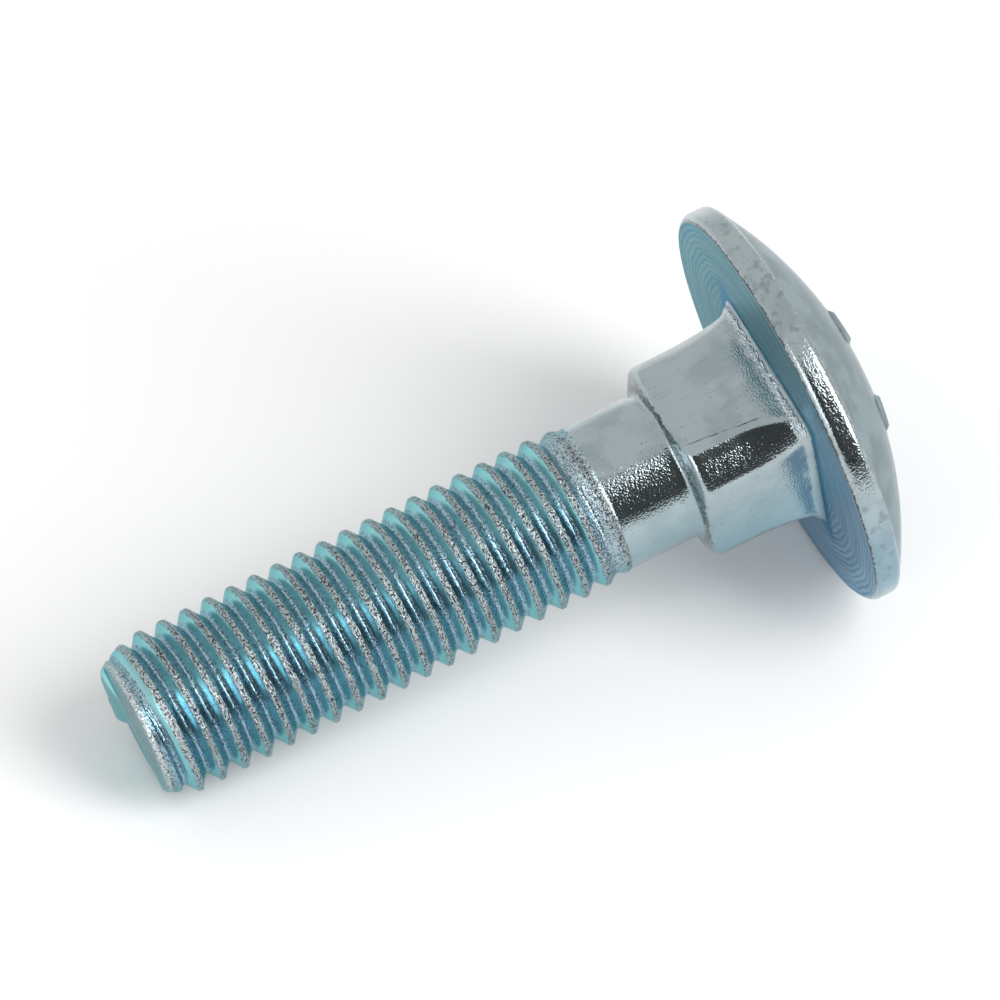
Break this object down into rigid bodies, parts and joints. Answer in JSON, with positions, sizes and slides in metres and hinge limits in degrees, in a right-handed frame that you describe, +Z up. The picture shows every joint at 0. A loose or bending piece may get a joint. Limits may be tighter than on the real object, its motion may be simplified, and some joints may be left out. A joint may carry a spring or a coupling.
{
  "type": "carriage bolt",
  "caption": "One-piece zinc-plated steel carriage bolt: a low mushroom head over a square neck, a short plain shank and a rolled right-hand thread, lying on its rim and thread.",
  "frame": {"origin": "on the floor under the middle of the lying bolt's box", "axes": "+Z up; the bolt's axis lies over +X, from the thread end at -X to the head at +X, and rises 10.5 degrees towards the head"},
  "size_m": [0.056, 0.0294, 0.029],
  "materials": {
    "zinc_steel": "bright zinc plating with a faint blue passivation, worn grey on the thread crests"
  },
  "bodies": {
    "root": {"bolt": "zinc_steel"}
  },
  "joints": []
}
